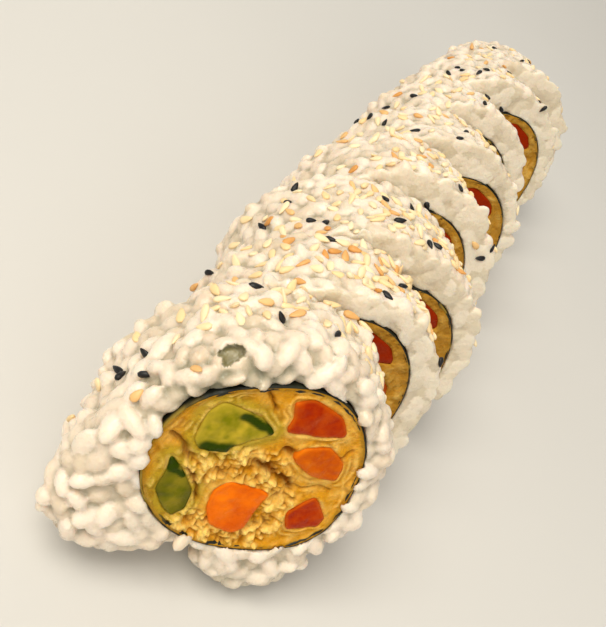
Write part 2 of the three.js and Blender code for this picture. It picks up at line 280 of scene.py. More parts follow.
def noise(points, size, seed):
    """Smooth noise from -1 to 1 at points, with features of a given size."""
    cell = points / size
    low = np.floor(cell).astype(np.int64)
    part = cell - low
    part = part * part * (3 - 2 * part)
    total = np.zeros(len(points))
    for corner in np.ndindex(*(2,) * points.shape[1]):
        node = low + corner
        mixed = np.full(len(points), seed * 668265263, np.int64)
        for axis, factor in zip(range(points.shape[1]), (73856093, 19349663, 83492791)):
            mixed ^= node[:, axis] * factor
        mixed = ((mixed ^ (mixed >> 13)) * 1274126177) & 0xFFFFFFFF
        mixed = (mixed ^ (mixed >> 15)) * 2246822519 & 0xFFFFFFFF
        value = ((mixed ^ (mixed >> 16)) & 0xFFFF) / 32767.5 - 1
        total += value * np.prod(np.where(corner, part, 1 - part), axis=1)
    return total


def pressed(value, softness):
    """Values pressed softly against a wall at 0: what lies past it is laid on it."""
    return np.where(value < softness, softness * np.exp(np.minimum(value / softness - 1, 0)), value)


def nori_edge(angles, width=NORI_WIDTH, height=NORI_HEIGHT):
    """Points round the nori's outside, from its middle."""
    grow = 1 + sum(swell(angles, spec) for spec in NORI_SWELLS)
    return np.stack([width / 2 * grow * np.cos(angles), height / 2 * grow * np.sin(angles)], 1)


def line_distance(points, line):
    """How far points lie from a line of two or more points."""
    line = np.array(line, float)
    best = np.full(len(points), np.inf)
    for start, end in zip(line[:-1], line[1:]):
        side = end - start
        share = np.clip((points - start) @ side / max(side @ side, 1e-12), 0, 1)
        best = np.minimum(best, np.linalg.norm(points - start - share[:, None] * side, axis=1))
    return best


def edge_distance(points, outline):
    """How far points lie outside a closed outline. Inside it is negative."""
    far = line_distance(points, np.vstack([outline, outline[:1]]))
    inside = np.zeros(len(points), bool)
    x, y = points.T
    for (x1, y1), (x2, y2) in zip(outline, np.roll(outline, -1, 0)):
        if y1 != y2:
            inside ^= ((y1 > y) != (y2 > y)) & (x < (x2 - x1) * (y - y1) / (y2 - y1) + x1)
    return np.where(inside, -far, far)


def rounded(corners):
    """A closed outline with its corners cut twice, so that they are round."""
    outline = np.array(corners, float)
    for cut in (0.13, 0.25):
        after = np.roll(outline, -1, 0)
        ends = (outline * (1 - cut) + after * cut, outline * cut + after * (1 - cut))
        outline = np.stack(ends, 1).reshape(-1, 2)
    return outline


class Slice:
    """A slice's place and outline, in millimetres across, up and back from the middle of its front cut."""

    def __init__(self, number, spec, shift):
        middle, turn, lean, self.width, self.height, fill = spec
        turn, lean = math.radians(turn), math.radians(lean)
        self.number = number
        self.is_end = number == 1
        self.fill = np.array(fill, float)
        self.middle = np.array(middle, float) + shift
        ahead, above = np.array([-math.sin(turn), math.cos(turn), 0]), np.array([0, 0, 1])
        self.right = np.array([math.cos(turn), math.sin(turn), 0])
        self.back = ahead * math.cos(lean) - above * math.sin(lean)
        self.up = ahead * math.sin(lean) + above * math.cos(lean)
        self.next = None

    def name(self, piece):
        return f"slice_{self.number}_{piece}"

    def pick(self, end, other):
        """One value for the end slice, which is seen from nearest, and another for the rest."""
        return end if self.is_end else other

    def place(self, local):
        """Points in metres in the row's frame, from millimetres across, up and back."""
        return (self.middle + local @ np.stack([self.right, self.up, self.back])) * MM

    def local(self, points):
        return (points / MM - self.middle) @ np.stack([self.right, self.up, self.back]).T

    def back_depth(self, across, up):
        """How deep the back cut lies, which is parallel to the next slice's front cut."""
        if self.next is None:
            return np.full(len(across), SLICE_THICKNESS)
        facing = self.next.back
        start = self.middle - self.next.middle
        room = -KNIFE_GAP - start @ facing - across * (self.right @ facing) - up * (self.up @ facing)
        return room / (self.back @ facing)

    def outline(self, angle, share):
        """Points round the rice, at shares of the way from the front cut to the back one."""
        grow = 1 + swell(angle, SAG)
        if self.is_end:
            grow = grow + sum(swell(angle, spec) for spec in END_SWELLS) * (1 - share)
            grow = grow + swell(angle, BACK_TAPER) * share
        return np.stack([self.width / 2 * grow * np.cos(angle), self.height / 2 * grow * np.sin(angle)], -1)


def slices_at(shift):
    """All slices, moved by the same shift. Each knows the next one, as their cuts are parallel."""
    row = [Slice(number, spec, shift) for number, spec in enumerate(SLICES, 1)]
    for slice_, after in zip(row, row[1:]):
        slice_.next = after
    return row


def row_shift():
    """How far the row moves along the table to stand where the frame's nori tubes do."""
    shifts = []
    for slice_ in slices_at(np.zeros(3)):
        edge = nori_edge(turns(NORI_SIDES)) + slice_.fill
        back = slice_.back_depth(*edge.T)
        points = slice_.place(np.vstack([np.column_stack([edge, depth]) for depth in (0 * back, back)]))
        low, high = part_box(slice_.name("nori"))
        shifts.append((np.array(low + high) - points.min(0) - points.max(0)) / 2 / MM)
    return np.median(shifts, axis=0) * (1, 1, 0)


ROW_SHIFT = row_shift()
ROW = slices_at(ROW_SHIFT)


# Camera


def camera_axes():
    """The way to the picture's right, up in the picture, and ahead."""
    pitch, yaw, roll = (math.radians(value) for value in (CAMERA_PITCH, CAMERA_YAW, CAMERA_ROLL))
    ahead = Vector((-math.sin(yaw) * math.cos(pitch), math.cos(yaw) * math.cos(pitch), -math.sin(pitch)))
    right = Vector((math.cos(yaw), math.sin(yaw), 0))
    up = right.cross(ahead)
    return (
        math.cos(roll) * right + math.sin(roll) * up,
        -math.sin(roll) * right + math.cos(roll) * up,
        ahead,
    )


def camera_place():
    return Vector((np.array(CAMERA_PLACE) + ROW_SHIFT) * MM)


def pixel_of(points):
    """The pixels where the camera sees points given in metres."""
    right, up, ahead = (np.array(axis) for axis in camera_axes())
    away = points - np.array(camera_place())
    flat = np.stack([away @ right, -(away @ up)], 1) / (away @ ahead)[:, None]
    return np.array(PICTURE) / 2 + CAMERA_OFFSET + CAMERA_FOCUS * flat


def seen_at(pixel, ground):
    """Where the camera sees the ground at a pixel, and which way it faces there."""
    right, up, ahead = camera_axes()
    across = (pixel[0] - PICTURE[0] / 2 - CAMERA_OFFSET[0]) / CAMERA_FOCUS
    down = (pixel[1] - PICTURE[1] / 2 - CAMERA_OFFSET[1]) / CAMERA_FOCUS
    return ground.ray_cast(camera_place(), (ahead + across * right - down * up).normalized())[:2]


# Meshes


def set_marks(mesh, marks):
    """Keeps a number at each point of a mesh for each named mark."""
    for mark, values in marks.items():
        kept = mesh.attributes.new(mark, "FLOAT", "POINT").data
        kept.foreach_set("value", np.ascontiguousarray(values, np.float32))


def new_piece(name, points, faces, marks=None):
    """A smooth mesh object at the origin, with its marks."""
    mesh = bpy.data.meshes.new(name)
    mesh.from_pydata(points.tolist(), [], [list(map(int, face)) for face in faces])
    mesh.validate()
    set_marks(mesh, marks or {})
    mesh.shade_smooth()
    piece = bpy.data.objects.new(name, mesh)
    bpy.context.scene.collection.objects.link(piece)
    return piece


def new_ring(name, points, columns, marks):
    """A closed ring from rows of points that run round it, each row with as many points."""
    count = len(points)
    here = np.arange(count)
    after = here - here % columns + (here + 1) % columns
    below = (here + columns) % count
    faces = np.stack([below, (after + columns) % count, after, here], 1)
    return new_piece(name, points, faces, marks)


def finish_piece(piece, material=None, replaced=()):
    """The piece rides on the roll, stands for the frame's nodes and takes its finish."""
    if material:
        piece.data.materials.clear()
        piece.data.materials.append(material)
    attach(piece, "root")
    if replaced:
        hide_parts(*replaced)


def numbers_of(items, field, width, kind=float):
    """The numbers that a mesh keeps for its points or edges, one row for each."""
    numbers = np.empty(len(items) * width, kind)
    items.foreach_get(field, numbers)
    return numbers.reshape(-1, width)


def relaxed(points, edges, rounds, pull=0.5):
    """Points drawn towards the middle of their neighbours."""
    count = np.bincount(edges.ravel(), minlength=len(points)).clip(1)
    for _ in range(rounds):
        total = np.empty_like(points)
        for axis in range(3):
            one = np.bincount(edges[:, 0], points[edges[:, 1], axis], len(points))
            other = np.bincount(edges[:, 1], points[edges[:, 0], axis], len(points))
            total[:, axis] = (one + other) / count
        points = points + pull * (total - points)
    return points


def bake_nodes(piece):
    """Turns what the live modifiers make into the piece's own plain mesh."""
    graph = bpy.context.evaluated_depsgraph_get()
    graph.update()
    mesh = bpy.data.meshes.new_from_object(piece.evaluated_get(graph))
    piece.modifiers.clear()
    piece.data = mesh
    return mesh


def slab(slice_, name, outline, holes, cell, front, marks):
    """A closed body between a front surface and the back cut, with an outline and holes given on the cut."""
    low, high = outline.min(0) - cell, outline.max(0) + cell
    xs, ys = np.arange(low[0], high[0] + cell, cell), np.arange(low[1], high[1] + cell, cell)
    grid = np.stack(np.meshgrid(xs, ys, indexing="ij"), -1).reshape(-1, 2)

    def distance(points):
        far = edge_distance(points, outline)
        for hole in holes:
            far = np.maximum(far, -edge_distance(points, hole))
        return far

    rows = len(ys)
    first = (np.arange(len(xs) - 1)[:, None] * rows + np.arange(rows - 1)).ravel()
    quads = np.stack([first, first + rows, first + rows + 1, first + 1], 1)
    far = distance(grid)
    quads = quads[far[quads].mean(1) < 0]
    used, flat = np.unique(quads, return_inverse=True)
    quads = flat.reshape(-1, 4)
    plane, far = grid[used], far[used]
    sides = np.vstack([quads[:, [corner, (corner + 1) % 4]] for corner in range(4)])
    known = set(map(tuple, sides.tolist()))
    rim = np.array([side for side in sides.tolist() if (side[1], side[0]) not in known])
    edge = np.unique(rim)
    step = cell * 0.2
    for _ in range(2):
        here = distance(plane[edge])
        slope = [(distance(plane[edge] + shift) - here) / step for shift in np.eye(2) * step]
        slope = np.stack(slope, 1)
        slope /= np.linalg.norm(slope, axis=1, keepdims=True).clip(0.3)
        plane[edge] -= here[:, None] * slope
    far[edge] = 0
    count = len(plane)
    start = front(plane, -far)
    end = slice_.back_depth(plane[:, 0], plane[:, 1])
    layers = [np.column_stack([plane, start]), np.column_stack([plane, end])]
    faces = [quads, quads[:, ::-1] + count, np.column_stack([rim[:, ::-1], rim + count])]
    points = slice_.place(np.vstack(layers))
    values = {mark: np.tile(value, 2) for mark, value in marks(plane, -far).items()}
    return new_piece(name, points, np.vstack(faces), values)


# Node trees


class Nodes:
    """A node tree, with short ways to add nodes. A value is a number, a colour or another node's output."""

    def __init__(self, tree):
        self.tree = tree

    def put(self, socket, value):
        """Gives a socket its value, or links it to the output that has it."""
        if isinstance(value, bpy.types.NodeSocket):
            self.tree.links.new(value, socket)
        else:
            socket.default_value = value

    def add(self, kind, values=None, **settings):
        """A node with its settings and the values of its inputs, which are named or numbered."""
        node = self.tree.nodes.new(kind)
        for setting, value in settings.items():
            setattr(node, setting, value)
        for key, value in (values or {}).items():
            self.put(node.inputs[key], value)
        return node

    def out(self, kind, values=None, **settings):
        """The first output of a new node."""
        return self.add(kind, values, **settings).outputs[0]

    def maths(self, operation, *values):
        return self.out("ShaderNodeMath", dict(enumerate(values)), operation=operation)

    def vector(self, *values):
        return self.out("ShaderNodeCombineXYZ", dict(enumerate(values)))

    def ramp(self, value, low, high, start=0.0, end=1.0):
        """A value from `start` to `end` as another goes from `low` to `high`, and no farther."""
        values = {"Value": value, "From Min": low, "From Max": high, "To Min": start, "To Max": end}
        return self.out("ShaderNodeMapRange", values)

    def scattered(self, kind, low, high, seed):
        """A random value for each point."""
        first = 2 if kind == "FLOAT" else 0
        values = {first: low, first + 1: high, "Seed": seed}
        node = self.add("FunctionNodeRandomValue", values, data_type=kind)
        return next(output for output in node.outputs if output.enabled)

    def copies(self, points, shape, upright, angles, sizes, seed):
        """The shape on each point, turned by its angles and scaled, each copy with its own tone."""
        turn = self.out("FunctionNodeEulerToRotation", {0: angles})
        turned = self.out("FunctionNodeRotateRotation", {0: upright, 1: turn}, rotation_space="LOCAL")
        strewn = self.out("GeometryNodeInstanceOnPoints", {
            "Points": points,
            "Instance": shape,
            "Rotation": turned,
            "Scale": self.scattered("FLOAT_VECTOR", *sizes, seed),
        })
        tone = self.scattered("FLOAT", 0.0, 1.0, seed)
        values = {"Geometry": strewn, "Name": "tone", "Value": tone}
        return self.out("GeometryNodeStoreNamedAttribute", values, data_type="FLOAT", domain="INSTANCE")

    def finished(self, shape, material, end):
        """Ends the tree with real copies that carry the finish."""
        real = self.out("GeometryNodeRealizeInstances", {0: shape})
        self.put(end.inputs[0], self.out("GeometryNodeSetMaterial", {"Geometry": real, "Material": material}))
        return self.tree


def shaped_tree(name, inputs):
    """A Geometry Nodes tree with named inputs, given as name: (socket kind, default)."""
    tree = bpy.data.node_groups.new(name, "GeometryNodeTree")
    for way in ("INPUT", "OUTPUT"):
        tree.interface.new_socket("Geometry", in_out=way, socket_type="NodeSocketGeometry")
    for label, (kind, default) in inputs.items():
        socket = tree.interface.new_socket(label, in_out="INPUT", socket_type="NodeSocket" + kind)
        if default is not None:
            socket.default_value = default
    nodes = Nodes(tree)
    return nodes, nodes.add("NodeGroupInput").outputs, nodes.add("NodeGroupOutput")


def use_tree(piece, tree, values):
    """Adds the tree to a piece, with its inputs set by their identifiers."""
    modifier = piece.modifiers.new(tree.name, "NODES")
    modifier.node_group = tree
    for item in tree.interface.items_tree:
        if item.item_type == "SOCKET" and item.in_out == "INPUT" and item.name in values:
            modifier[item.identifier] = values[item.name]


def grain_tree():
    """Rice grains strewn on a core: pressed in a little, turned at random and tilted."""
    nodes, given, end = shaped_tree("Rice grains", {
        "Length": ("Float", 0.0052),
        "Width": ("Float", 0.0028),
        "Thickness": ("Float", 0.0024),
        "Spacing": ("Float", 0.0021),
        "Sink": ("Float", 0.0003),
        "Unevenness": ("Float", 0.0005),
        "Tilt": ("Float", GRAIN_TILT),
        "Seed": ("Int", 1),
        "Finish": ("Material", None),
    })
    seed = given["Seed"]
    where = nodes.out("GeometryNodeInputNamedAttribute", {"Name": "grains"}, data_type="FLOAT")
    spread = nodes.add("GeometryNodeDistributePointsOnFaces", {
        "Mesh": given["Geometry"],
        "Distance Min": given["Spacing"],
        "Density Max": GRAIN_DENSITY,
        "Density Factor": where,
        "Seed": seed,
    }, distribute_method="POISSON")
    off = nodes.maths("MULTIPLY", nodes.scattered("FLOAT", -0.5, 0.5, seed), given["Unevenness"])
    rise = nodes.maths("SUBTRACT", off, given["Sink"])
    shift = nodes.out("ShaderNodeVectorMath", {0: spread.outputs["Normal"], "Scale": rise}, operation="SCALE")
    placed = nodes.out("GeometryNodeSetPosition", {"Geometry": spread.outputs["Points"], "Offset": shift})
    ball = nodes.out("GeometryNodeMeshUVSphere", {"Segments": 8, "Rings": 7, "Radius": 0.51})
    size = nodes.vector(given["Width"], given["Length"], given["Thickness"])
    grain = nodes.out("GeometryNodeTransform", {"Geometry": ball, "Scale": size})
    less = nodes.maths("MULTIPLY", given["Tilt"], -1.0)
    low, high = nodes.vector(less, less, 0.0), nodes.vector(given["Tilt"], given["Tilt"], math.tau)
    angles = nodes.scattered("FLOAT_VECTOR", low, high, seed)
    strewn = nodes.copies(placed, grain, spread.outputs["Rotation"], angles, GRAIN_SIZES, seed)
    both = nodes.add("GeometryNodeJoinGeometry", {0: strewn})
    nodes.put(both.inputs[0], given["Geometry"])
    return nodes.finished(both.outputs[0], given["Finish"], end)


def seed_tree():
    """One sesame seed on each point, flat on what carries it: a flattened drop with one narrow end."""
    nodes, given, end = shaped_tree("Sesame seeds", {
        "Length": ("Float", 0.0027),
        "Width": ("Float", 0.0016),
        "Thickness": ("Float", 0.0009),
        "Point": ("Float", 0.45),
        "Seed": ("Int", 1),
        "Finish": ("Material", None),
    })
    ball = nodes.out("GeometryNodeMeshUVSphere", {"Segments": 10, "Rings": 7, "Radius": 0.5})
    where = nodes.out("GeometryNodeInputPosition")
    across, along, up = nodes.add("ShaderNodeSeparateXYZ", {0: where}).outputs
    narrow = nodes.ramp(along, -0.5, 0.5, 1.15, given["Point"])
    drop = nodes.vector(nodes.maths("MULTIPLY", across, narrow), along, nodes.maths("MULTIPLY", up, narrow))
    shaped = nodes.out("GeometryNodeSetPosition", {"Geometry": ball, "Position": drop})
    smooth = nodes.out("GeometryNodeSetShadeSmooth", {0: shaped})
    size = nodes.vector(given["Width"], given["Length"], given["Thickness"])
    seed = nodes.out("GeometryNodeTransform", {"Geometry": smooth, "Scale": size})
    facing = nodes.out("GeometryNodeInputNamedAttribute", {"Name": "facing"}, data_type="FLOAT_VECTOR")
    upright = nodes.out("FunctionNodeAlignRotationToVector", {"Vector": facing}, axis="Z")
    low, high = (-SEED_TILT, -SEED_TILT, 0.0), (SEED_TILT, SEED_TILT, math.tau)
    angles = nodes.scattered("FLOAT_VECTOR", low, high, given["Seed"])
    strewn = nodes.copies(given["Geometry"], seed, upright, angles, SEED_SIZES, given["Seed"])
    return nodes.finished(strewn, given["Finish"], end)


# Finishes


class Finish(Nodes):
    """A material whose patterns follow the piece itself, with constants on the shader's own sockets."""

    def __init__(self, name, roughness, **constants):
        self.material = bpy.data.materials.new(name)
        self.material.use_nodes = True
        super().__init__(self.material.node_tree)
        self.tree.nodes.clear()
        self.shader = self.add("ShaderNodeBsdfPrincipled", {"Roughness": roughness})
        for key, value in constants.items():
            self.shader.inputs[key.replace("_", " ")].default_value = value
        self.add("ShaderNodeOutputMaterial", {0: self.shader.outputs[0]})
        self.coords = self.add("ShaderNodeTexCoord").outputs["Object"]

    def speckle(self, size, detail=3.0, roughness=0.55):
        """Noise with features of a given size in millimetres."""
        values = {"Vector": self.coords, "Scale": 1 / (size * MM), "Detail": detail, "Roughness": roughness}
        return self.add("ShaderNodeTexNoise", values).outputs["Fac"]

    def blend(self, share, first, second, mode="MIX"):
        """Two colours mixed, each given as a colour or as an output."""
        node = self.add("ShaderNodeMix", {0: share}, data_type="RGBA", blend_type=mode)
        for place, value in ((6, first), (7, second)):
            self.put(node.inputs[place], value if isinstance(value, bpy.types.NodeSocket) else (*value, 1))
        return node.outputs[2]

    def over(self, base, *layers):
        """A colour with others laid over it, each by its share."""
        for share, tint in layers:
            base = self.blend(share, base, tint)
        return base

    def mark(self, name):
        """What a mesh's own points say, such as how deep they lie."""
        return self.add("ShaderNodeAttribute", attribute_name=name, attribute_type="GEOMETRY").outputs["Fac"]

    def done(self, base, gloss, roughness, relief, depth, strength):
        """Colour, a roughness that varies between two values, and relief of a depth in millimetres."""
        self.put(self.shader.inputs["Base Color"], base)
        self.put(self.shader.inputs["Roughness"], self.ramp(gloss, 0.3, 0.7, *roughness))
        bump = self.add("ShaderNodeBump", {"Height": relief, "Distance": depth * MM, "Strength": strength})
        self.put(self.shader.inputs["Normal"], bump.outputs[0])
        return self.material


def rice_finish(options):
    """Moist rice: warm white crests and greyer creases, which are painted light and painted shade, and a
    slightly glassy knife cut.
    """
    finish = Finish(
        "cooked_rice",
        0.36,
        Subsurface_Weight=0.5,
        Subsurface_Radius=(0.002, 0.0015, 0.001),
        Subsurface_Scale=1.0,
        Specular_IOR_Level=0.55,
    )
    # Painted light and shade: crests take the lit crest colour, creases the painted crease shade, and the
    # deepest gaps a darker painted shade
    height = finish.mark("height")
    base = finish.over(
        options.shade,
        (finish.ramp(height, -0.36, 0.02), options.light),
        (finish.ramp(height, -0.5, -1.1), options.deep),
        (finish.mark("cut"), options.cut),
        (finish.ramp(finish.speckle(9.0, 2.0), 0.45, 0.7, 0.0, 0.4), options.cut),
    )
    # Each grain's own tone, which on the end face also carries the painted shade of the hollow by the nori
    warm = finish.blend(finish.ramp(finish.mark("tone"), 0.0, 0.7), (0.79, 0.77, 0.7), WHITE)
    base = finish.blend(1.0, base, warm, "MULTIPLY")
    values = {"Vector": finish.coords, "Scale": 1 / (2.4 * MM)}
    cells = finish.add("ShaderNodeTexVoronoi", values, feature="F1").outputs["Distance"]
    milky = finish.blend(finish.ramp(cells, 0.2, 0.75, 1.0, 0.86), (0.8, 0.8, 0.74), WHITE)
    base = finish.blend(1.0, base, milky, "MULTIPLY")
    # Painted shade: the rice is darker towards the table, where less light reaches it
    above = finish.add("ShaderNodeSeparateXYZ", {0: finish.coords}).outputs[2]
    base = finish.blend(finish.ramp(above, 0.001, 0.011, 0.65, 0.0), base, options.shade)
    rough = finish.maths("MULTIPLY_ADD", cells, -0.6, finish.speckle(0.8))
    return finish.done(base, finish.speckle(1.2), (0.2, 0.42), rough, 0.28, 0.7)


def seed_finish(name, colour, deeper):
    """Glossy seeds: each has its own tone between two colours, and is a little mottled."""
    finish = Finish(name, 0.4, Specular_IOR_Level=0.4)
    tint = finish.maths("MULTIPLY_ADD", finish.speckle(1.5, 2.0), 0.5, finish.mark("tone"))
    base = finish.blend(finish.ramp(tint, 0.35, 1.15), colour, deeper)
    return finish.done(base, finish.speckle(0.6), (0.3, 0.55), finish.speckle(0.35, 2.0), 0.05, 0.6)


def nori_finish(options):
    """Damp nori, nearly black, with greener spots and smears of batter on its edge."""
    finish = Finish("damp_nori", 0.5, Specular_IOR_Level=0.35)
    base = finish.over(
        options.dark,
        (finish.ramp(finish.speckle(1.6), 0.35, 0.7), options.green),
        (finish.mark("smear"), options.smear),
    )
    return finish.done(base, finish.speckle(0.8), (0.35, 0.7), finish.speckle(0.5), 0.12, 0.8)


def filling_finish(name, roughness, weight, radius, specular, tint):
    """A finish for the filling, whose tinted reflections keep its colours deep."""
    return Finish(
        name,
        roughness,
        Subsurface_Weight=weight,
        Subsurface_Radius=radius,
        Specular_IOR_Level=specular,
        Specular_Tint=(*tint, 1.0),
    )


def batter_finish(options):
    """Golden batter: pale tips that are partly painted highlight, brown pits and seams with painted shade
    between the crumbs, and smoother olive films by the greens.
    """
    finish = filling_finish("golden_batter", 0.5, 0.25, (0.002, 0.001, 0.0004), 0.1, (1.0, 0.75, 0.35))
    grain = finish.speckle(0.9, 4.0, 0.65)
    base = finish.over(
        options.film,
        (finish.ramp(finish.speckle(3.0), 0.4, 0.75, 0.0, 0.6), options.pale),
        (finish.ramp(finish.speckle(1.6), 0.55, 0.75, 0.0, 0.5), options.brown),
        (finish.ramp(finish.mark("olive"), 0.0, 1.0, 0.0, 0.85), options.olive),
        # Painted highlight on the crumb crests, then painted shade in the crumbs' gaps and by the nori's
        # edge, with the seams
        (finish.maths("MULTIPLY", finish.mark("tip"), finish.ramp(grain, 0.3, 0.55)), options.pale),
        (finish.mark("pit"), options.brown),
        # Painted shade on the batter of the slices behind
        (finish.mark("shade_behind"), options.shade_behind),
    )
    relief = finish.maths("ADD", grain, finish.speckle(0.4))
    return finish.done(base, grain, (0.35, 0.65), relief, 0.35, 0.8)


def carrot_finish(name, colour, patch):
    """Wet carrot with lighter patches, fibres and rim, with painted shade in the slices behind."""
    finish = filling_finish(name, 0.25, 0.1, (0.0025, 0.0008, 0.0002), 0.14, (1.0, 0.5, 0.15))
    base = finish.over(
        colour,
        (finish.ramp(finish.speckle(4.5, 2.0), 0.45, 0.68), patch),
        (finish.ramp(finish.speckle(0.9, 4.0), 0.4, 0.7, 0.0, 0.35), patch),
        (finish.ramp(finish.mark("inward"), 0.0, 0.5, 0.25, 0.0), CARROT_RIM),
        (finish.mark("shade_behind"), [value * 0.7 for value in colour]),
    )
    return finish.done(base, finish.speckle(0.7), (0.18, 0.42), finish.speckle(0.6), 0.1, 0.6)


def green_finish(options):
    """Wet green flesh, golden at its rim, with dark skin where it is marked."""
    finish = filling_finish("green_flesh", 0.3, 0.1, (0.0015, 0.0018, 0.0003), 0.12, (1.0, 0.9, 0.2))
    base = finish.over(
        options.green_deep,
        (finish.ramp(finish.speckle(2.4, 2.0), 0.3, 0.7), options.green_flesh),
        (finish.ramp(finish.mark("inward"), 0.0, 0.9, 0.7, 0.0), GREEN_RIM),
        (finish.mark("skin"), options.green_skin),
    )
    return finish.done(base, finish.speckle(0.7), (0.2, 0.45), finish.speckle(0.7), 0.1, 0.6)


# Sizes and colours that a user may change


def length(name, description, default):
    words = {"name": name, "description": description}
    return FloatProperty(**words, default=default, unit="LENGTH", subtype="DISTANCE")


def power(name, description, default):
    return FloatProperty(name=name, description=description, default=default, unit="POWER")


def colour(name, description, default):
    words = {"name": name, "description": description}
    return FloatVectorProperty(**words, default=default, subtype="COLOR", min=0, max=1)


class UramakiRice(bpy.types.PropertyGroup):
    grain_length: length("Grain length", "Length of a cooked grain", 0.0052)
    grain_width: length("Grain width", "Width of a cooked grain", 0.0028)
    grain_thickness: length("Grain thickness", "Thickness of a cooked grain", 0.0024)
    spacing: length("Spacing", "Least distance between two grains", 0.0021)
    sink: length("Sink", "How far a grain is pressed into the rice", 0.0003)
    unevenness: length("Unevenness", "How much the grains stand out unevenly", 0.0005)
    skin: length("Skin", "Cell size of the sticky skin that joins the grains", 0.00035)
    # The crest, crease and depth colours are lit and shaded copies of one rice: painted light on crests,
    # painted shade in creases and the deepest gaps. The crease colour is also the painted shade low down.
    light: colour("Crest colour", "Rice in the light", (0.94, 0.8, 0.67))
    shade: colour("Crease colour", "Rice between the grains", (0.42, 0.39, 0.28))
    cut: colour("Cut colour", "Rice on a knife cut", (0.87, 0.78, 0.64))
    deep: colour("Depth colour", "The deepest gaps of the rice", (0.3, 0.27, 0.14))


class UramakiSesame(bpy.types.PropertyGroup):
    seed_length: length("Seed length", "Length of a sesame seed", 0.0027)
    seed_width: length("Seed width", "Width of a sesame seed", 0.0016)
    seed_thickness: length("Seed thickness", "Thickness of a sesame seed", 0.0009)
    least_gap: length("Least gap", "Least distance between the middles of two seeds", 0.0015)
    cream: colour("Cream", "The palest plain seeds", (0.98, 0.83, 0.55))
    cream_deep: colour("Deeper cream", "The deepest plain seeds", (0.95, 0.7, 0.36))
    toasted: colour("Toasted", "The palest toasted seeds", (0.88, 0.56, 0.24))
    toasted_deep: colour("Deeper toasted", "The deepest toasted seeds", (0.72, 0.33, 0.08))
    black: colour("Black", "Black seeds", (0.01, 0.01, 0.012))
    black_deep: colour("Deeper black", "The deepest black seeds", (0.005, 0.005, 0.006))


class UramakiNori(bpy.types.PropertyGroup):
    thickness: length("Thickness", "Thickness of the nori", 0.0004)
    dark: colour("Dark", "Nori", (0.004, 0.005, 0.003))
    green: colour("Green", "Thinner spots of the nori", (0.012, 0.016, 0.006))
    smear: colour("Smear", "Batter on the nori's edge", (0.3, 0.2, 0.02))


class UramakiBatter(bpy.types.PropertyGroup):
    crumb_height: length("Crumb height", "Relief of the crumbly batter", 0.0008)
    film: colour("Film", "Smooth batter round the strips", (0.72, 0.32, 0.014))
    # Pale also paints a highlight on the crumbs' crests, and brown paints shade in their gaps and by the
    # nori's edge; both also give random patches
    pale: colour("Pale", "Tips of the crumbs", (1.0, 0.69, 0.19))
    brown: colour("Brown", "Pits and seams", (0.26, 0.08, 0.003))
    olive: colour("Olive", "Batter next to the greens", (0.45, 0.32, 0.02))
    # Painted shade on the batter of the slices behind, whose cut faces lie in shade
    shade_behind: colour("Dull", "Batter in the slices behind", (0.43, 0.215, 0.025))


class UramakiStrips(bpy.types.PropertyGroup):
    deep: colour("Deep carrot", "The darkest carrot", (0.37, 0.02, 0.001))
    middle: colour("Carrot", "The middle carrot", (0.53, 0.075, 0.001))
    bright: colour("Bright carrot", "The brightest carrot", (0.7, 0.1, 0.001))
    deep_core: colour("Deep patches", "Lighter patches of the darkest carrot", (0.56, 0.07, 0.001))
    middle_core: colour("Patches", "Lighter patches of the middle carrot", (0.74, 0.17, 0.003))
    bright_core: colour("Bright patches", "Lighter patches of the brightest carrot", (0.95, 0.2, 0.004))
    green_flesh: colour("Green flesh", "Light green flesh", (0.56, 0.4, 0.03))
    green_deep: colour("Green depth", "Deeper green flesh", (0.21, 0.2, 0.002))
    green_skin: colour("Green skin", "Dark skin", (0.022, 0.045, 0.0005))


class UramakiStage(bpy.types.PropertyGroup):
    floor: colour("Floor", "The floor", (0.7, 0.69, 0.67))
    key_power: power("Key light", "Power of the main light", 3.8)
    fill_power: power("Fill light", "Power of the fill light", 1.3)
    back_power: power("Back light", "Power of the back light", 0.9)
    sky: FloatProperty(name="Sky", description="Strength of the light from all round", default=0.34)


# Rice

# The skin's cells get larger from the front slice to the back ones, which the camera sees from farther away
SKIN_SHARES = (1.0, 1.15, 1.15, 1.15, 1.3, 1.3, 1.3, 1.3)


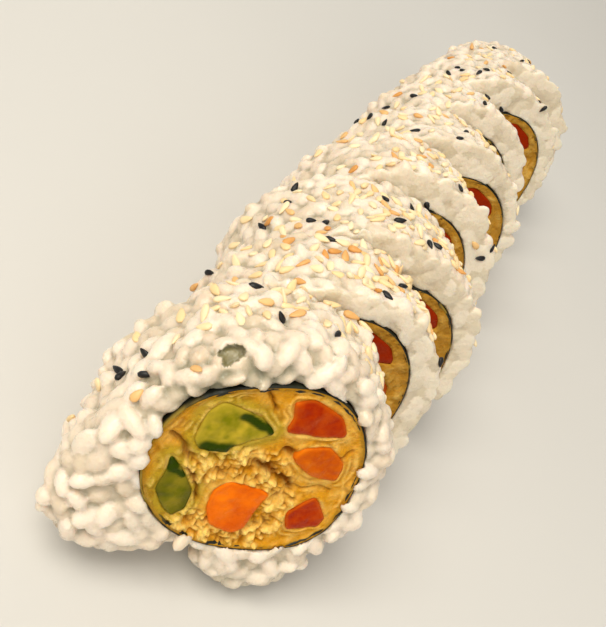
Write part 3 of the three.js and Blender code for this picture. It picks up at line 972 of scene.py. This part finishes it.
def rice_core(slice_, columns=120):
    """A closed, uneven ring of rice that the grains are strewn on, with a mark where they may lie."""
    rows = [(reach, 0.0) for reach in (0, 0.12, 0.28, 0.45, 0.7, 0.9)]
    rows += [(1.0, share) for share in np.linspace(0, 1, 9)]
    rows += [(reach, 1.0) for reach in (0.9, 0.7, 0.45, 0.2, 0)]
    rows += [(0.0, share) for share in np.linspace(1, 0, 7)[1:-1]]
    reach, share = np.repeat(rows, columns, axis=0).T
    around = np.tile(turns(columns), len(rows))
    outer = slice_.outline(around, share)
    rise = swell(around, BULGE) * share * slice_.is_end - CORE_DEPTH
    outer = outer * (1 + rise / np.linalg.norm(outer, axis=1))[:, None]
    inner = nori_edge(around) * CORE_FIT + slice_.fill
    flat = inner * (1 - reach)[:, None] + outer * reach[:, None]
    front = np.full(len(flat), CORE_INSET)
    if slice_.is_end:
        front = np.interp(reach, *END_FACE)
        front += swell(around, HOLLOW) * (1 - smooth_step(reach, 0.14, 0.42))
        front += swell(around, HANG) * (1 - smooth_step(reach, 0, 0.2))
    back = slice_.back_depth(*flat.T) - CORE_INSET
    local = np.column_stack([flat, front * (1 - share) + back * share])
    finer = slice_.pick(0.5, 0.25)
    lump = 0.5 * noise(local, 7.0, slice_.number) + finer * noise(local, 3.6, slice_.number + 20)
    radial = flat / np.linalg.norm(flat, axis=1, keepdims=True)
    local[:, :2] += radial * (lump * reach)[:, None]
    points = slice_.place(local)
    points[:, 2] = np.maximum(points[:, 2], CORE_LIFT * MM)
    open_face = (reach > 0.1) | (slice_.is_end & (share == 0))
    return new_ring(f"rice_{slice_.number}", points, columns, {"grains": open_face})


def tone_of_grains(grains, mesh):
    """The tone of the grain nearest to each point of a mesh."""
    tones = numbers_of(grains.attributes["tone"].data, "value", 1, np.float32).ravel()
    faces = [polygon.vertices[:] for polygon in grains.polygons]
    surface = BVHTree.FromPolygons([vertex.co for vertex in grains.vertices], faces)
    nearest = [surface.find_nearest(vertex.co)[2] for vertex in mesh.vertices]
    return tones[np.array([face[0] for face in faces])[nearest]]


def shape_rice(slice_, mesh, tone):
    """Lays the grains flat on the knife cuts, the nori and the table, and marks crests, creases and cuts;
    crests get painted light and creases painted shade.
    """
    edges = numbers_of(mesh.edges, "vertices", 2, np.int64)
    points = relaxed(numbers_of(mesh.vertices, "co", 3), edges, 1, 0.25)
    local = slice_.local(points)
    if not slice_.is_end:
        local[:, 2] = pressed(local[:, 2], CUT_SOFTNESS)
    back = slice_.back_depth(local[:, 0], local[:, 1])
    local[:, 2] = back - pressed(back - local[:, 2], CUT_SOFTNESS)
    offset = local[:, :2] - slice_.fill
    angles = np.arctan2(offset[:, 1] / NORI_HEIGHT, offset[:, 0] / NORI_WIDTH)
    edge = nori_edge(angles) * RICE_FIT
    share = np.linalg.norm(offset, axis=1) / np.linalg.norm(edge, axis=1)
    inside = (share < 1) & (local[:, 2] > (-0.15 if slice_.is_end else -1))
    local[inside, :2] = slice_.fill + edge[inside]
    points = slice_.place(local)
    # The pit is a dent in the rice, and its grains are also darkened with painted shade through the height
    # mark
    pit = np.zeros(len(points))
    if slice_.is_end:
        away = np.linalg.norm(pixel_of(points) - PIT[0], axis=1)
        away += 14 * noise(local, 1.9, 78) + 6 * noise(local, 0.9, 79)
        pit = (1 - smooth_step(away, PIT[1] * 0.55, PIT[1])) * (local[:, 2] < 6)
        points += PIT_DEPTH * MM * pit[:, None] * np.array(camera_axes()[2])
    points[:, 2] = pressed(points[:, 2] / MM, TABLE_SOFTNESS) * MM
    mesh.vertices.foreach_set("co", points.ravel())
    # How far each point stands above its smoothed surface: crests get painted light and creases painted shade
    # from it
    lift = (points - relaxed(points, edges, CREASE_ROUNDS)) / MM
    height = (lift * numbers_of(mesh.vertices, "normal", 3)).sum(1) - pit
    if slice_.is_end:
        off = np.linalg.norm(offset - edge, axis=1)
        # Painted shade: the greyer stretch of the hollow by the nori gets a darker tone and darker creases
        shade = swell(angles, SHADE) * np.exp(-((off / 3.5) ** 2)) * (1 - smooth_step(local[:, 2], 4, 8))
        tone = tone * (1 - shade)
        height -= 0.35 * shade
    cut = 1 - smooth_step(back - local[:, 2], 0.1, 0.5)
    if not slice_.is_end:
        cut = np.maximum(cut, 1 - smooth_step(local[:, 2], 0.1, 0.5))
    set_marks(mesh, {"height": height, "cut": cut, "tone": tone})
    mesh.shade_smooth()
    mesh.update()


class UramakiRiceOperator(bpy.types.Operator):
    """Makes each slice's ring of rice from hundreds of grains"""

    bl_idname = "uramaki.rice"
    bl_label = "Rice"

    def execute(self, context):
        options = context.scene.uramaki_rice
        material = rice_finish(options)
        tree = grain_tree()
        for slice_ in ROW:
            piece = rice_core(slice_)
            use_tree(piece, tree, {
                "Length": options.grain_length,
                "Width": options.grain_width,
                "Thickness": options.grain_thickness,
                "Spacing": options.spacing,
                "Sink": options.sink * slice_.pick(END_SINK, 1.0),
                "Unevenness": options.unevenness * slice_.pick(END_UNEVENNESS, 1.0),
                "Tilt": slice_.pick(END_TILT, GRAIN_TILT),
                "Seed": slice_.number,
                "Finish": material,
            })
            grains = bake_nodes(piece)
            skin = piece.modifiers.new("Skin", "REMESH")
            skin.mode = "VOXEL"
            skin.voxel_size = options.skin * SKIN_SHARES[slice_.number - 1]
            mesh = bake_nodes(piece)
            shape_rice(slice_, mesh, tone_of_grains(grains, mesh))
            finish_piece(piece, material, [slice_.name("rice")])
        return {"FINISHED"}


# Sesame

# Seeds strewn on each slice from front to back: cream, toasted and black
STREWN = (
    (80, 12, 3), (150, 40, 4), (150, 46, 3), (95, 16, 4),
    (50, 6, 4), (36, 5, 4), (40, 6, 4), (40, 6, 5),
)

# How large the seeds of each kind are beside the cream ones
SEED_SHARES = {"cream": 1.0, "toasted": 0.95, "black": 0.8}


def strewn_places(slice_, ground, amount, rng):
    """Places on the upper side of a slice, most of them near the top."""
    found = []
    for _ in range(amount):
        angle = math.radians(rng.normal(*SEED_FALL))
        share = rng.uniform(*slice_.pick(*SEED_DEPTHS))
        flat = slice_.outline(np.array([angle]), np.array([share]))[0]
        start = slice_.place(np.array([*flat * 1.4, share * SLICE_THICKNESS]))
        aim = slice_.place(np.array([*flat * 0.5, share * SLICE_THICKNESS]))
        place, normal = ground.ray_cast(Vector(start), Vector(aim - start).normalized())[:2]
        if place is not None and place.z > SEED_LOWEST * MM:
            found.append((place, normal))
    return found


def ground_of(numbers):
    """The rice of some slices as one surface to place seeds on."""
    points, faces = [], []
    for number in numbers:
        mesh = bpy.data.objects[f"rice_{number}"].data
        start = len(points)
        points += [vertex.co for vertex in mesh.vertices]
        faces += [[start + corner for corner in polygon.vertices] for polygon in mesh.polygons]
    return BVHTree.FromPolygons(points, faces)


class UramakiSesameOperator(bpy.types.Operator):
    """Strews cream, toasted and black sesame seeds on the rice"""

    bl_idname = "uramaki.sesame"
    bl_label = "Sesame"

    def execute(self, context):
        options = context.scene.uramaki_sesame
        rng = np.random.default_rng(STREWING)
        taken = []
        kinds = {"cream": [], "toasted": [], "black": []}

        def keep(kind, place, normal):
            if place is None or any((place - other).length < options.least_gap for other in taken):
                return
            taken.append(place)
            kinds[kind].append((place + normal * options.seed_thickness * SEED_LIFT, normal))

        whole = ground_of(slice_.number for slice_ in ROW)
        for kind, pixels in (("black", BLACK_SEEDS), ("toasted", TOASTED_SEEDS)):
            for pixel in pixels:
                keep(kind, *seen_at(pixel, whole))
        for slice_, amounts in zip(ROW, STREWN):
            ground = ground_of([slice_.number])
            for kind, amount in zip(kinds, amounts):
                for place, normal in strewn_places(slice_, ground, amount, rng):
                    keep(kind, place, normal)
        tree = seed_tree()
        for number, (kind, places) in enumerate(kinds.items()):
            piece = new_piece(f"sesame_{kind}", np.array([place for place, _ in places]), [])
            facing = piece.data.attributes.new("facing", "FLOAT_VECTOR", "POINT")
            facing.data.foreach_set("vector", np.array([normal for _, normal in places], np.float32).ravel())
            material = seed_finish(f"{kind}_sesame", getattr(options, kind), getattr(options, f"{kind}_deep"))
            use_tree(piece, tree, {
                "Length": options.seed_length * SEED_SHARES[kind],
                "Width": options.seed_width * SEED_SHARES[kind],
                "Thickness": options.seed_thickness,
                "Seed": number,
                "Finish": material,
            })
            bake_nodes(piece)
            finish_piece(piece)
        return {"FINISHED"}


# Nori


def nori_tube(slice_, thickness, columns=180):
    """The nori's tube, a little wavy, with its front edge cut level and worn."""
    angles = turns(columns)
    ring = nori_edge(angles)
    size = np.linalg.norm(ring, axis=1, keepdims=True)
    covered = noise(np.column_stack([ring, 0 * angles]), 1.5, 90 + slice_.number)
    if slice_.is_end:
        covered = swell(angles, NORI_SMEAR) + 0.35 * covered
    smear = smooth_step(covered, 0.35, 0.75)
    shares = (0, 0.04, 0.12, 0.3, 0.5, 0.7, 0.9, 1)
    rows = [(share, 0) for share in shares] + [(share, 1) for share in reversed(shares)]
    walls = []
    for share, inner in rows:
        around = np.column_stack([ring, np.full(columns, share * SLICE_THICKNESS)])
        wave = noise(around, 2.2, slice_.number + 50)[:, None] * 0.1
        body = thickness * (1 + 0.6 * noise(around, 1.3, slice_.number + 60)[:, None])
        # On the end face the nori is made thicker where it shows, partly a painted shadow of the dark gap
        # beside it
        if slice_.is_end and share < 0.2:
            rough = 0.7 + 0.8 * noise(around, 1.3, 90)
            shows = sum(swell(angles, spec) for spec in NORI_SHOWS)
            body += (shows * rough.clip(0) * 0.75 * (1 - share / 0.2))[:, None]
        flat = ring * (1 + (wave * (1 - share) - body * inner) / size) + slice_.fill
        back = slice_.back_depth(*flat.T)
        front = 0.12 + 0.12 * noise(around, 1.2, slice_.number + 70)
        walls.append(np.column_stack([flat, front * (1 - share) + back * share]))
    smears = np.concatenate([smear * (share == 0) for share, _ in rows])
    return new_ring(f"nori_{slice_.number}", slice_.place(np.vstack(walls)), columns, {"smear": smears})


class UramakiNoriOperator(bpy.types.Operator):
    """Makes each slice's tube of nori"""

    bl_idname = "uramaki.nori"
    bl_label = "Nori"

    def execute(self, context):
        options = context.scene.uramaki_nori
        material = nori_finish(options)
        for slice_ in ROW:
            piece = nori_tube(slice_, options.thickness / MM)
            finish_piece(piece, material, [slice_.name("nori")])
        return {"FINISHED"}


# Batter


def strips_of(slice_):
    """The strips of a slice by name, with their slot and their outline from the nori's middle."""
    found = {}
    for name, (slot, corners) in STRIPS.items():
        if name not in END_ONLY or slice_.is_end:
            found[name] = (slot, rounded(corners))
    return found


def batter_plug(slice_, crumb_height):
    """The batter, with a channel for each strip: smooth films round them, crumbs between and seams."""
    cell = slice_.pick(*BATTER_CELLS)
    edge = nori_edge(turns(160), NORI_WIDTH - BATTER_FIT, NORI_HEIGHT - BATTER_FIT) + slice_.fill
    strips = [(slot, outline + slice_.fill) for slot, outline in strips_of(slice_).values()]
    holes = [outline for _, outline in strips]
    greens = [outline for slot, outline in strips if slot == "green_vegetable"]
    seams = SEAMS if slice_.is_end else ()

    def seam_depth(plane):
        depth = np.zeros(len(plane))
        for line, width, deep in seams:
            far = line_distance(plane - slice_.fill + 0.25 * noise(plane, 1.1, 5)[:, None], line)
            depth = np.maximum(depth, deep * np.exp(-((far / width) ** 2)))
        return depth

    def crumbs(plane, inward):
        zone = 1.0
        if slice_.is_end:
            away = line_distance(plane - slice_.fill, CRUMBS) + 0.8 * noise(plane, 2.5, 31)
            zone = 1 - smooth_step(away, CRUMB_REACH * 0.75, CRUMB_REACH * 1.15)
        return smooth_step(inward, 0.1, 0.6) * zone

    def relief(plane):
        lumps = 2.2 * np.abs(noise(plane, 1.5, 11 + slice_.number)) - 0.75
        return 0.7 * lumps + 0.6 * (2 * np.abs(noise(plane, 0.7, 12 + slice_.number)) - 0.7)

    def layers(plane, inward):
        wave = np.sin(math.tau * inward / 1.1 + 4 * noise(plane, 1.8, 34)) * smooth_step(inward, 0.1, 0.3)
        return wave * smooth_step(noise(plane, 2.2, 35), -0.2, 0.4)

    def rim_light(plane, inward):
        patch = smooth_step(noise(plane, 2.2, 33), -0.1, 0.5)
        return patch * np.exp(-(((inward - 0.35) / 0.3) ** 2)) * (edge_distance(plane, edge) < -0.8)

    def front(plane, inward):
        film = np.exp(-(((inward - 0.55) / 0.45) ** 2))
        folds = noise(plane, 1.6, 15) + 0.5 * noise(plane, 0.7, 16)
        depth = BATTER_DIP - 0.28 * film - 0.14 * folds * smooth_step(inward, 0, 0.4)
        depth -= 0.4 * (1 - smooth_step(-edge_distance(plane, edge), 0, 0.5))
        depth -= 0.09 * layers(plane, inward)
        depth -= crumb_height * slice_.pick(1.0, 0.5) * crumbs(plane, inward) * relief(plane)
        return depth + seam_depth(plane)

    def marks(plane, inward):
        crumb, lump = crumbs(plane, inward), relief(plane)
        wave = layers(plane, inward) * (1 - crumb)
        nori = 1 - smooth_step(-edge_distance(plane, edge), 0.1, 0.9)
        # Crumb crests are painted pale as a painted highlight, and the gaps between crumbs brown as painted
        # shade. By the nori's edge the batter gets painted shade, brown and olive. The seams, rim lights and
        # layer lines are marked too.
        tips = (crumb * smooth_step(lump, -0.25, 0.45), 0.7 * rim_light(plane, inward), 0.6 * wave)
        gaps = (crumb * smooth_step(-lump, 0.2, 0.8) * 0.7, -0.45 * wave, 0.5 * nori)
        seam = np.clip(seam_depth(plane) * 0.9, 0, 1)
        films = [1 - smooth_step(edge_distance(plane, green), 0.8, 2.8) for green in greens]
        # Painted shade for the slices behind, a little uneven
        shade_behind = 0.75 + 0.3 * noise(plane, 2.6, 17 + slice_.number)
        return {
            "tip": np.max(tips, axis=0),
            "pit": np.max((seam, *gaps), axis=0),
            "olive": np.max((0.6 * nori, *films), axis=0),
            "shade_behind": 0 * shade_behind if slice_.is_end else shade_behind.clip(0, 1),
        }

    return slab(slice_, f"batter_{slice_.number}", edge, holes, cell, front, marks)


class UramakiBatterOperator(bpy.types.Operator):
    """Makes each slice's crumbly batter"""

    bl_idname = "uramaki.batter"
    bl_label = "Batter"

    def execute(self, context):
        options = context.scene.uramaki_batter
        material = batter_finish(options)
        for slice_ in ROW:
            piece = batter_plug(slice_, options.crumb_height / MM)
            finish_piece(piece, material, [slice_.name("batter")])
        return {"FINISHED"}


# Strips


def strip_bar(slice_, name, outline):
    """A strip that runs through the slice, with a softly rounded, slightly uneven cut end."""
    proud = slice_.pick(STRIP_PROUD, 0.0)
    middle = slice_.fill

    def front(plane, inward):
        rim = np.exp(-inward / 0.35)
        return 0.3 - proud + 0.14 * rim - 0.14 * noise(plane, 1.8, 41) - 0.1 * noise(plane, 0.9, 42)

    def marks(plane, inward):
        skin = np.zeros(len(plane))
        for line, reach in DARK_SKINS.get(name, ()):
            far = line_distance(plane - middle + 0.2 * noise(plane, 1.0, 8)[:, None], line)
            skin = np.maximum(skin, 1 - smooth_step(far, reach * 0.5, reach * 1.1))
        if name == "green_left":
            skin = np.maximum(skin, 0.66 + 0.2 * noise(plane, 2.5, 9))
        # The strips of the slices behind get painted shade
        return {"inward": inward, "skin": skin, "shade_behind": np.full(len(plane), slice_.pick(0.0, STRIP_SHADE_BEHIND))}

    wide = middle + outline.mean(0) + (outline - outline.mean(0)) * 1.015
    return slab(slice_, f"{name}_{slice_.number}", wide, [], slice_.pick(*STRIP_CELLS), front, marks)


class UramakiStripsOperator(bpy.types.Operator):
    """Makes the strips of carrot and green vegetable in each slice"""

    bl_idname = "uramaki.strips"
    bl_label = "Strips"

    def execute(self, context):
        options = context.scene.uramaki_strips
        finishes = {
            "deep_carrot": carrot_finish("carrot_deep", options.deep, options.deep_core),
            "carrot": carrot_finish("carrot_middle", options.middle, options.middle_core),
            "bright_carrot": carrot_finish("carrot_bright", options.bright, options.bright_core),
            "green_vegetable": green_finish(options),
        }
        for slice_ in ROW:
            for name, (slot, outline) in strips_of(slice_).items():
                piece = strip_bar(slice_, name, outline)
                finish_piece(piece, finishes[slot], [slice_.name(name)])
        return {"FINISHED"}


# Stage


def area_light(name, place, power, size, tint):
    """A square light that shines at the roll."""
    data = bpy.data.lights.new(name, "AREA")
    data.energy = power
    data.size = size
    data.color = tint
    light = bpy.data.objects.new(name, data)
    light.location = place
    light.rotation_euler = (LIGHT_AIM - Vector(place)).to_track_quat("-Z", "Y").to_euler()
    bpy.context.scene.collection.objects.link(light)


class UramakiStageOperator(bpy.types.Operator):
    """Sets the floor, the lights and the camera"""

    bl_idname = "uramaki.stage"
    bl_label = "Stage"

    def execute(self, context):
        options = context.scene.uramaki_stage
        scene = context.scene
        corners = FLOOR_HALF * np.array([(-1, -1, 0), (1, -1, 0), (1, 1, 0), (-1, 1, 0)])
        floor = new_piece("floor", corners, [(0, 1, 2, 3)])
        finish = Finish("floor_finish", 0.7)
        patch = finish.ramp(finish.speckle(120.0), 0.3, 0.7)
        darker = [value * 0.98 for value in options.floor]
        finish.put(finish.shader.inputs["Base Color"], finish.blend(patch, darker, options.floor))
        floor.data.materials.append(finish.material)
        area_light("key", (-0.2, -0.28, 0.6), options.key_power, 0.4, (1.0, 0.94, 0.82))
        area_light("fill", (0.35, -0.5, 0.4), options.fill_power, 0.5, (1.0, 0.95, 0.85))
        area_light("back", (-0.2, 0.6, 0.4), options.back_power, 0.5, (1.0, 0.95, 0.85))
        world = bpy.data.worlds.new("studio")
        world.use_nodes = True
        sky = world.node_tree.nodes["Background"]
        sky.inputs["Color"].default_value = (1.0, 0.96, 0.88, 1)
        sky.inputs["Strength"].default_value = options.sky
        scene.world = world
        scene.view_settings.view_transform = "Standard"
        data = bpy.data.cameras.new("camera")
        data.sensor_width = SENSOR
        data.lens = CAMERA_FOCUS * SENSOR / max(PICTURE)
        data.shift_x = -CAMERA_OFFSET[0] / max(PICTURE)
        data.shift_y = CAMERA_OFFSET[1] / max(PICTURE)
        data.clip_start = 0.01
        camera = bpy.data.objects.new("camera", data)
        right, up, ahead = camera_axes()
        turn = Matrix((right, up, -ahead)).transposed().to_4x4()
        camera.matrix_world = Matrix.Translation(camera_place()) @ turn
        scene.collection.objects.link(camera)
        scene.camera = camera
        return {"FINISHED"}


GROUPS = {
    "uramaki_rice": (UramakiRice, UramakiRiceOperator),
    "uramaki_sesame": (UramakiSesame, UramakiSesameOperator),
    "uramaki_nori": (UramakiNori, UramakiNoriOperator),
    "uramaki_batter": (UramakiBatter, UramakiBatterOperator),
    "uramaki_strips": (UramakiStrips, UramakiStripsOperator),
    "uramaki_stage": (UramakiStage, UramakiStageOperator),
}


class UramakiPanel(bpy.types.Panel):
    """Lists the roll's sizes and colours, and a button for each group of pieces"""

    bl_idname = "VIEW3D_PT_uramaki"
    bl_label = "Uramaki"
    bl_space_type = "VIEW_3D"
    bl_region_type = "UI"
    bl_category = "Uramaki"

    def draw(self, context):
        for group, (options, piece) in GROUPS.items():
            box = self.layout.box()
            for value in options.__annotations__:
                box.prop(getattr(context.scene, group), value)
            box.operator(piece.bl_idname)


def register():
    for group, (options, piece) in GROUPS.items():
        bpy.utils.register_class(options)
        bpy.utils.register_class(piece)
        setattr(bpy.types.Scene, group, PointerProperty(type=options))
    bpy.utils.register_class(UramakiPanel)


def unregister():
    bpy.utils.unregister_class(UramakiPanel)
    for group, (options, piece) in GROUPS.items():
        delattr(bpy.types.Scene, group)
        bpy.utils.unregister_class(piece)
        bpy.utils.unregister_class(options)


def main():
    register()
    for _, piece in GROUPS.values():
        group, name = piece.bl_idname.split(".")
        getattr(getattr(bpy.ops, group), name)()


if __name__ == "__main__":
    main()
